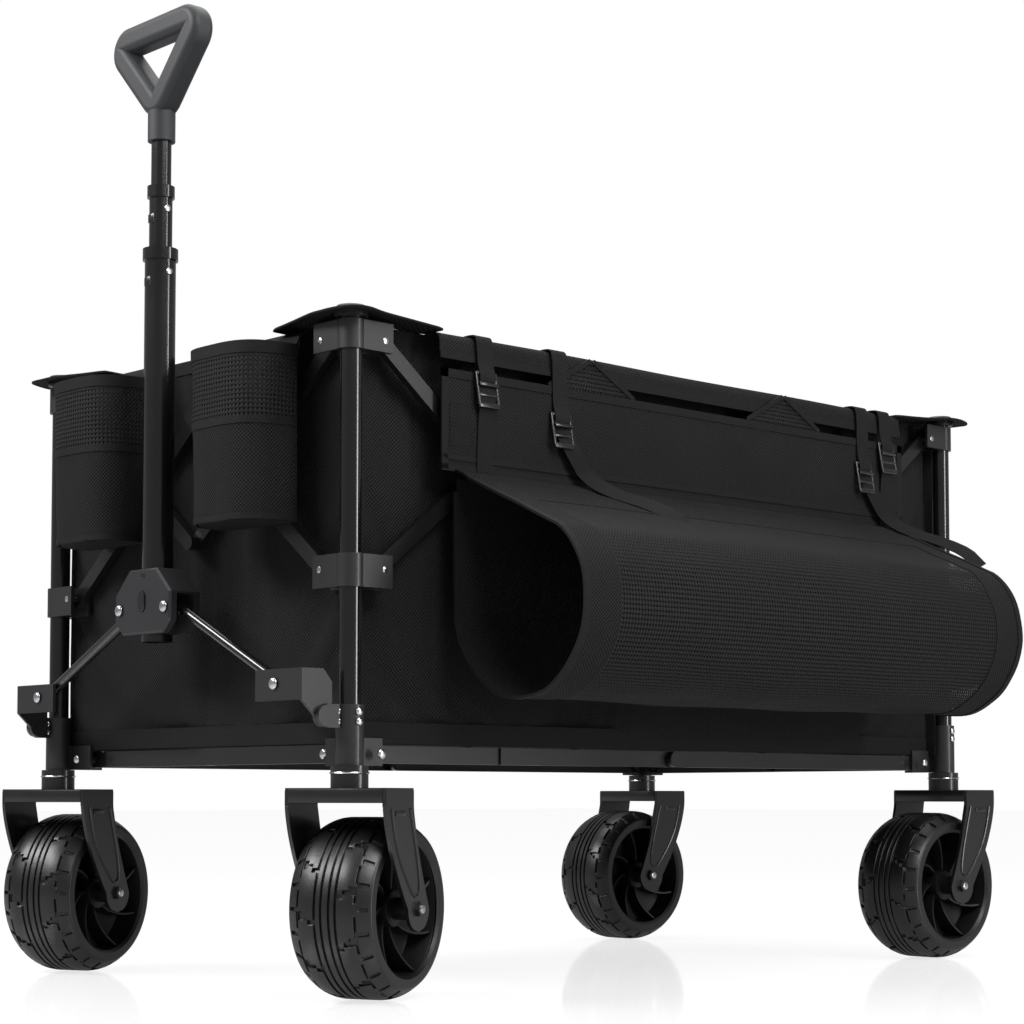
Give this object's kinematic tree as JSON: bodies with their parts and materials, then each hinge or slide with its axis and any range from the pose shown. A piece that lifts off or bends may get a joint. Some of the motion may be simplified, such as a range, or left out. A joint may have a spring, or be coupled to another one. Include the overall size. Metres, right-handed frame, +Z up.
{
  "type": "folding camp wagon",
  "caption": "Folding camp wagon with a scissor frame, fabric bag, front bottle pockets, side sling, swivel casters and a telescoping pull handle.",
  "frame": {"origin": "on the ground, under the middle of the corner posts", "axes": "+Z up, -Y towards the handle end, +X towards the side that carries the sling"},
  "size_m": [0.9224, 1.2415, 1.1615],
  "materials": {
    "frame_paint": "gloss black powder coat",
    "tube_paint": "gloss black",
    "bracket_paint": "satin dark grey",
    "fork_paint": "satin black",
    "tyre_rubber": "moulded rubber with a sheen",
    "wheel_plastic": "matte black",
    "hub_plastic": "satin charcoal",
    "button_plastic": "gloss black",
    "grip_rubber": "soft touch charcoal",
    "bag_fabric": "black oxford weave",
    "bag_mesh": "open black mesh",
    "webbing": "woven tape",
    "rivet_zinc": "bright zinc"
  },
  "bodies": {
    "post_front_right": {"post_front_right": "frame_paint", "bag_wall_right": "bag_fabric", "bag_floor": "bag_fabric", "side_organizer": "bag_fabric"},
    "post_front_left": {"post_front_left": "frame_paint", "bag_wall_front": "bag_fabric"},
    "post_rear_right": {"post_rear_right": "frame_paint", "bag_wall_rear": "bag_fabric"},
    "post_rear_left": {"post_rear_left": "frame_paint", "bag_wall_left": "bag_fabric"},
    "handle_hub": {"handle_hub": "hub_plastic", "handle_lower_tube": "tube_paint"},
    "handle_upper_tube": {"handle_upper_tube": "tube_paint", "handle_grip": "grip_rubber"},
    "caster_fork_front_left": {"caster_fork_front_left": "fork_paint"},
    "caster_fork_front_right": {"caster_fork_front_right": "fork_paint"},
    "caster_fork_rear_left": {"caster_fork_rear_left": "fork_paint"},
    "caster_fork_rear_right": {"caster_fork_rear_right": "fork_paint"},
    "end_rail_front_left": {"end_rail_front_left": "frame_paint"},
    "end_rail_front_right": {"end_rail_front_right": "frame_paint"},
    "end_rail_rear_left": {"end_rail_rear_left": "frame_paint"},
    "end_rail_rear_right": {"end_rail_rear_right": "frame_paint"},
    "front_bar_down_1": {"front_bar_down_1": "frame_paint"},
    "front_bar_down_2": {"front_bar_down_2": "frame_paint"},
    "front_bar_up_1": {"front_bar_up_1": "frame_paint"},
    "front_bar_up_2": {"front_bar_up_2": "frame_paint"},
    "handle_bracket_left": {"handle_bracket_left": "bracket_paint"},
    "handle_bracket_right": {"handle_bracket_right": "bracket_paint"},
    "handle_middle_tube": {"handle_middle_tube": "tube_paint"},
    "handle_release_button": {"handle_release_button": "button_plastic"},
    "handle_strut_left": {"handle_strut_left": "tube_paint"},
    "handle_strut_right": {"handle_strut_right": "tube_paint"},
    "left_bar_down_1": {"left_bar_down_1": "frame_paint"},
    "left_bar_down_2": {"left_bar_down_2": "frame_paint"},
    "left_bar_down_3": {"left_bar_down_3": "frame_paint"},
    "left_bar_up_1": {"left_bar_up_1": "frame_paint"},
    "left_bar_up_2": {"left_bar_up_2": "frame_paint"},
    "left_bar_up_3": {"left_bar_up_3": "frame_paint"},
    "rear_bar_down_1": {"rear_bar_down_1": "frame_paint"},
    "rear_bar_down_2": {"rear_bar_down_2": "frame_paint"},
    "rear_bar_up_1": {"rear_bar_up_1": "frame_paint"},
    "rear_bar_up_2": {"rear_bar_up_2": "frame_paint"},
    "right_bar_down_1": {"right_bar_down_1": "frame_paint"},
    "right_bar_down_2": {"right_bar_down_2": "frame_paint"},
    "right_bar_down_3": {"right_bar_down_3": "frame_paint"},
    "right_bar_up_1": {"right_bar_up_1": "frame_paint"},
    "right_bar_up_2": {"right_bar_up_2": "frame_paint"},
    "right_bar_up_3": {"right_bar_up_3": "frame_paint"},
    "side_rail_front_left": {"side_rail_front_left": "frame_paint"},
    "side_rail_front_right": {"side_rail_front_right": "frame_paint"},
    "side_rail_rear_left": {"side_rail_rear_left": "frame_paint"},
    "side_rail_rear_right": {"side_rail_rear_right": "frame_paint"},
    "slider_front_left": {"slider_front_left": "bracket_paint"},
    "slider_front_right": {"slider_front_right": "bracket_paint"},
    "slider_rear_left": {"slider_rear_left": "bracket_paint"},
    "slider_rear_right": {"slider_rear_right": "bracket_paint"},
    "wheel_front_left": {"wheel_front_left": "tyre_rubber"},
    "wheel_front_right": {"wheel_front_right": "tyre_rubber"},
    "wheel_rear_left": {"wheel_rear_left": "tyre_rubber"},
    "wheel_rear_right": {"wheel_rear_right": "tyre_rubber"}
  },
  "joints": [
    {"name": "fold", "type": "hinge", "parent": "post_front_right", "child": "right_bar_down_1", "pos_m": [0.2965, -0.5095, 0.736], "axis": [-1, 0, 0], "range_deg": [0, 30], "deforming": ["bag_wall_right", "bag_floor", "side_organizer", "bag_wall_front", "bag_wall_rear", "bag_wall_left"]},
    {"name": "right_cross_pivot_1", "type": "hinge", "parent": "right_bar_down_1", "child": "right_bar_up_1", "pos_m": [0.2965, -0.34751, 0.60715], "axis": [-1, 0, 0], "range_deg": [-60, 0]},
    {"name": "right_top_pivot_2", "type": "hinge", "parent": "right_bar_up_1", "child": "right_bar_down_2", "pos_m": [0.2965, -0.17376, 0.74536], "axis": [-1, 0, 0], "range_deg": [0, 60]},
    {"name": "right_cross_pivot_2", "type": "hinge", "parent": "right_bar_down_2", "child": "right_bar_up_2", "pos_m": [0.2965, 0, 0.60715], "axis": [-1, 0, 0], "range_deg": [-60, 0]},
    {"name": "right_top_pivot_3", "type": "hinge", "parent": "right_bar_up_2", "child": "right_bar_down_3", "pos_m": [0.2965, 0.17376, 0.74536], "axis": [-1, 0, 0], "range_deg": [0, 60]},
    {"name": "right_cross_pivot_3", "type": "hinge", "parent": "right_bar_down_3", "child": "right_bar_up_3", "pos_m": [0.2965, 0.34751, 0.60715], "axis": [-1, 0, 0], "range_deg": [-60, 0]},
    {"name": "right_top_pivot_4", "type": "hinge", "parent": "right_bar_up_3", "child": "post_rear_right", "pos_m": [0.2965, 0.5095, 0.736], "axis": [-1, 0, 0], "range_deg": [0, 30]},
    {"name": "front_top_pivot_3", "type": "hinge", "parent": "post_front_right", "child": "front_bar_up_2", "pos_m": [0.2585, -0.5475, 0.736], "axis": [0, 1, 0], "range_deg": [-30, 0]},
    {"name": "front_cross_pivot_2", "type": "hinge", "parent": "front_bar_up_2", "child": "front_bar_down_2", "pos_m": [0.09651, -0.5475, 0.60715], "axis": [0, 1, 0], "range_deg": [0, 60]},
    {"name": "front_top_pivot_2", "type": "hinge", "parent": "front_bar_down_2", "child": "front_bar_up_1", "pos_m": [0, -0.5475, 0.68392], "axis": [0, 1, 0], "range_deg": [-60, 0]},
    {"name": "front_cross_pivot_1", "type": "hinge", "parent": "front_bar_up_1", "child": "front_bar_down_1", "pos_m": [-0.09651, -0.5475, 0.60715], "axis": [0, 1, 0], "range_deg": [0, 60]},
    {"name": "front_top_pivot_1", "type": "hinge", "parent": "front_bar_down_1", "child": "post_front_left", "pos_m": [-0.2585, -0.5475, 0.736], "axis": [0, 1, 0], "range_deg": [-30, 0]},
    {"name": "rear_top_pivot_1", "type": "hinge", "parent": "post_rear_right", "child": "rear_bar_down_1", "pos_m": [0.2585, 0.5475, 0.736], "axis": [0, -1, 0], "range_deg": [0, 30]},
    {"name": "rear_cross_pivot_1", "type": "hinge", "parent": "rear_bar_down_1", "child": "rear_bar_up_1", "pos_m": [0.09651, 0.5475, 0.60715], "axis": [0, -1, 0], "range_deg": [-60, 0]},
    {"name": "rear_top_pivot_2", "type": "hinge", "parent": "rear_bar_up_1", "child": "rear_bar_down_2", "pos_m": [0, 0.5475, 0.68392], "axis": [0, -1, 0], "range_deg": [0, 60]},
    {"name": "rear_cross_pivot_2", "type": "hinge", "parent": "rear_bar_down_2", "child": "rear_bar_up_2", "pos_m": [-0.09651, 0.5475, 0.60715], "axis": [0, -1, 0], "range_deg": [-60, 0]},
    {"name": "rear_top_pivot_3", "type": "hinge", "parent": "rear_bar_up_2", "child": "post_rear_left", "pos_m": [-0.2585, 0.5475, 0.736], "axis": [0, -1, 0], "range_deg": [0, 30]},
    {"name": "left_top_pivot_4", "type": "hinge", "parent": "post_front_left", "child": "left_bar_up_3", "pos_m": [-0.2965, -0.5095, 0.736], "axis": [1, 0, 0], "range_deg": [-30, 0]},
    {"name": "left_cross_pivot_3", "type": "hinge", "parent": "left_bar_up_3", "child": "left_bar_down_3", "pos_m": [-0.2965, -0.34751, 0.60715], "axis": [1, 0, 0], "range_deg": [0, 60]},
    {"name": "left_top_pivot_3", "type": "hinge", "parent": "left_bar_down_3", "child": "left_bar_up_2", "pos_m": [-0.2965, -0.17376, 0.74536], "axis": [1, 0, 0], "range_deg": [-60, 0]},
    {"name": "left_cross_pivot_2", "type": "hinge", "parent": "left_bar_up_2", "child": "left_bar_down_2", "pos_m": [-0.2965, 0, 0.60715], "axis": [1, 0, 0], "range_deg": [0, 60]},
    {"name": "left_top_pivot_2", "type": "hinge", "parent": "left_bar_down_2", "child": "left_bar_up_1", "pos_m": [-0.2965, 0.17376, 0.74536], "axis": [1, 0, 0], "range_deg": [-60, 0]},
    {"name": "left_cross_pivot_1", "type": "hinge", "parent": "left_bar_up_1", "child": "left_bar_down_1", "pos_m": [-0.2965, 0.34751, 0.60715], "axis": [1, 0, 0], "range_deg": [0, 60]},
    {"name": "slider_pivot_front_right", "type": "hinge", "parent": "right_bar_up_1", "child": "slider_front_right", "pos_m": [0.2965, -0.5095, 0.4783], "axis": [-1, 0, 0], "range_deg": [0, 30]},
    {"name": "slider_pivot_rear_right", "type": "hinge", "parent": "right_bar_down_3", "child": "slider_rear_right", "pos_m": [0.2965, 0.5095, 0.4783], "axis": [-1, 0, 0], "range_deg": [-30, 0]},
    {"name": "slider_pivot_rear_left", "type": "hinge", "parent": "rear_bar_down_2", "child": "slider_rear_left", "pos_m": [-0.2585, 0.5475, 0.4783], "axis": [0, -1, 0], "range_deg": [-30, 0]},
    {"name": "slider_pivot_front_left", "type": "hinge", "parent": "front_bar_up_1", "child": "slider_front_left", "pos_m": [-0.2585, -0.5475, 0.4783], "axis": [0, 1, 0], "range_deg": [0, 30]},
    {"name": "end_rail_hinge_front_right", "type": "hinge", "parent": "post_front_right", "child": "end_rail_front_right", "pos_m": [0.2515, -0.5475, 0.273], "axis": [0, 1, 0], "range_deg": [0, 63]},
    {"name": "side_rail_hinge_front_right", "type": "hinge", "parent": "post_front_right", "child": "side_rail_front_right", "pos_m": [0.2965, -0.5025, 0.273], "axis": [1, 0, 0], "range_deg": [0, 63]},
    {"name": "end_rail_hinge_front_left", "type": "hinge", "parent": "post_front_left", "child": "end_rail_front_left", "pos_m": [-0.2515, -0.5475, 0.273], "axis": [0, -1, 0], "range_deg": [0, 63]},
    {"name": "side_rail_hinge_front_left", "type": "hinge", "parent": "post_front_left", "child": "side_rail_front_left", "pos_m": [-0.2965, -0.5025, 0.273], "axis": [1, 0, 0], "range_deg": [0, 63]},
    {"name": "end_rail_hinge_rear_right", "type": "hinge", "parent": "post_rear_right", "child": "end_rail_rear_right", "pos_m": [0.2515, 0.5475, 0.273], "axis": [0, 1, 0], "range_deg": [0, 63]},
    {"name": "side_rail_hinge_rear_right", "type": "hinge", "parent": "post_rear_right", "child": "side_rail_rear_right", "pos_m": [0.2965, 0.5025, 0.273], "axis": [-1, 0, 0], "range_deg": [0, 63]},
    {"name": "end_rail_hinge_rear_left", "type": "hinge", "parent": "post_rear_left", "child": "end_rail_rear_left", "pos_m": [-0.2515, 0.5475, 0.273], "axis": [0, -1, 0], "range_deg": [0, 63]},
    {"name": "side_rail_hinge_rear_left", "type": "hinge", "parent": "post_rear_left", "child": "side_rail_rear_left", "pos_m": [-0.2965, 0.5025, 0.273], "axis": [-1, 0, 0], "range_deg": [0, 63]},
    {"name": "caster_swivel_front_right", "type": "hinge", "parent": "post_front_right", "child": "caster_fork_front_right", "pos_m": [0.2965, -0.5475, 0.235], "axis": [0, 0, 1], "continuous": true},
    {"name": "wheel_spin_front_right", "type": "hinge", "parent": "caster_fork_front_right", "child": "wheel_front_right", "pos_m": [0.27964, -0.50578, 0.1015], "axis": [-0.9272, -0.3746, 0], "continuous": true},
    {"name": "caster_swivel_front_left", "type": "hinge", "parent": "post_front_left", "child": "caster_fork_front_left", "pos_m": [-0.2965, -0.5475, 0.235], "axis": [0, 0, 1], "continuous": true},
    {"name": "wheel_spin_front_left", "type": "hinge", "parent": "caster_fork_front_left", "child": "wheel_front_left", "pos_m": [-0.31336, -0.50578, 0.1015], "axis": [-0.9272, -0.3746, 0], "continuous": true},
    {"name": "caster_swivel_rear_right", "type": "hinge", "parent": "post_rear_right", "child": "caster_fork_rear_right", "pos_m": [0.2965, 0.5475, 0.235], "axis": [0, 0, 1], "continuous": true},
    {"name": "wheel_spin_rear_right", "type": "hinge", "parent": "caster_fork_rear_right", "child": "wheel_rear_right", "pos_m": [0.2965, 0.5025, 0.1015], "axis": [1, 0, 0], "continuous": true},
    {"name": "caster_swivel_rear_left", "type": "hinge", "parent": "post_rear_left", "child": "caster_fork_rear_left", "pos_m": [-0.2965, 0.5475, 0.235], "axis": [0, 0, 1], "continuous": true},
    {"name": "wheel_spin_rear_left", "type": "hinge", "parent": "caster_fork_rear_left", "child": "wheel_rear_left", "pos_m": [-0.2965, 0.5025, 0.1015], "axis": [1, 0, 0], "continuous": true},
    {"name": "handle_tilt", "type": "hinge", "parent": "post_front_right", "child": "handle_bracket_right", "pos_m": [0.2905, -0.5815, 0.314], "axis": [1, 0, 0], "range_deg": [0, 75]},
    {"name": "handle_tilt_left", "type": "hinge", "parent": "post_front_left", "child": "handle_bracket_left", "pos_m": [-0.2905, -0.5815, 0.314], "axis": [1, 0, 0], "range_deg": [0, 75]},
    {"name": "strut_pivot_right", "type": "hinge", "parent": "handle_bracket_right", "child": "handle_strut_right", "pos_m": [0.243, -0.6, 0.35], "axis": [0, 1, 0], "range_deg": [0, 48]},
    {"name": "strut_pivot_left", "type": "hinge", "parent": "handle_bracket_left", "child": "handle_strut_left", "pos_m": [-0.243, -0.6, 0.35], "axis": [0, -1, 0], "range_deg": [0, 48]},
    {"name": "hub_pivot", "type": "hinge", "parent": "handle_strut_right", "child": "handle_hub", "pos_m": [0.046, -0.6, 0.447], "axis": [0, 1, 0], "range_deg": [-48, 0]},
    {"name": "release_button_press", "type": "slide", "parent": "handle_hub", "child": "handle_release_button", "axis": [0, 1, 0], "range_m": [0, 0.0016], "stiffness_N_per_m": 600},
    {"name": "handle_middle_slide", "type": "slide", "parent": "handle_hub", "child": "handle_middle_tube", "axis": [0, 0, 1], "range_m": [-0.058, 0.22]},
    {"name": "handle_upper_slide", "type": "slide", "parent": "handle_middle_tube", "child": "handle_upper_tube", "axis": [0, 0, 1], "range_m": [-0.054, 0.22]}
  ],
  "couplings": [
    {"joint": "right_cross_pivot_1", "follows": "fold", "ratio": -2},
    {"joint": "right_top_pivot_2", "follows": "fold", "ratio": 2},
    {"joint": "right_cross_pivot_2", "follows": "fold", "ratio": -2},
    {"joint": "right_top_pivot_3", "follows": "fold", "ratio": 2},
    {"joint": "right_cross_pivot_3", "follows": "fold", "ratio": -2},
    {"joint": "right_top_pivot_4", "follows": "fold", "ratio": 1},
    {"joint": "front_top_pivot_3", "follows": "fold", "ratio": -1},
    {"joint": "front_cross_pivot_2", "follows": "fold", "ratio": 2},
    {"joint": "front_top_pivot_2", "follows": "fold", "ratio": -2},
    {"joint": "front_cross_pivot_1", "follows": "fold", "ratio": 2},
    {"joint": "front_top_pivot_1", "follows": "fold", "ratio": -1},
    {"joint": "rear_top_pivot_1", "follows": "fold", "ratio": 1},
    {"joint": "rear_cross_pivot_1", "follows": "fold", "ratio": -2},
    {"joint": "rear_top_pivot_2", "follows": "fold", "ratio": 2},
    {"joint": "rear_cross_pivot_2", "follows": "fold", "ratio": -2},
    {"joint": "rear_top_pivot_3", "follows": "fold", "ratio": 1},
    {"joint": "left_top_pivot_4", "follows": "fold", "ratio": -1},
    {"joint": "left_cross_pivot_3", "follows": "fold", "ratio": 2},
    {"joint": "left_top_pivot_3", "follows": "fold", "ratio": -2},
    {"joint": "left_cross_pivot_2", "follows": "fold", "ratio": 2},
    {"joint": "left_top_pivot_2", "follows": "fold", "ratio": -2},
    {"joint": "left_cross_pivot_1", "follows": "fold", "ratio": 2},
    {"joint": "slider_pivot_front_right", "follows": "fold", "ratio": 1},
    {"joint": "slider_pivot_rear_right", "follows": "fold", "ratio": -1},
    {"joint": "slider_pivot_rear_left", "follows": "fold", "ratio": -1},
    {"joint": "slider_pivot_front_left", "follows": "fold", "ratio": 1},
    {"joint": "end_rail_hinge_front_right", "follows": "fold", "ratio": 2.09},
    {"joint": "side_rail_hinge_front_right", "follows": "fold", "ratio": 2.09},
    {"joint": "end_rail_hinge_front_left", "follows": "fold", "ratio": 2.09},
    {"joint": "side_rail_hinge_front_left", "follows": "fold", "ratio": 2.09},
    {"joint": "end_rail_hinge_rear_right", "follows": "fold", "ratio": 2.09},
    {"joint": "side_rail_hinge_rear_right", "follows": "fold", "ratio": 2.09},
    {"joint": "end_rail_hinge_rear_left", "follows": "fold", "ratio": 2.09},
    {"joint": "side_rail_hinge_rear_left", "follows": "fold", "ratio": 2.09},
    {"joint": "handle_tilt_left", "follows": "handle_tilt", "ratio": 1},
    {"joint": "strut_pivot_right", "follows": "fold", "ratio": 1.597},
    {"joint": "strut_pivot_left", "follows": "fold", "ratio": 1.597},
    {"joint": "hub_pivot", "follows": "fold", "ratio": -1.597}
  ]
}
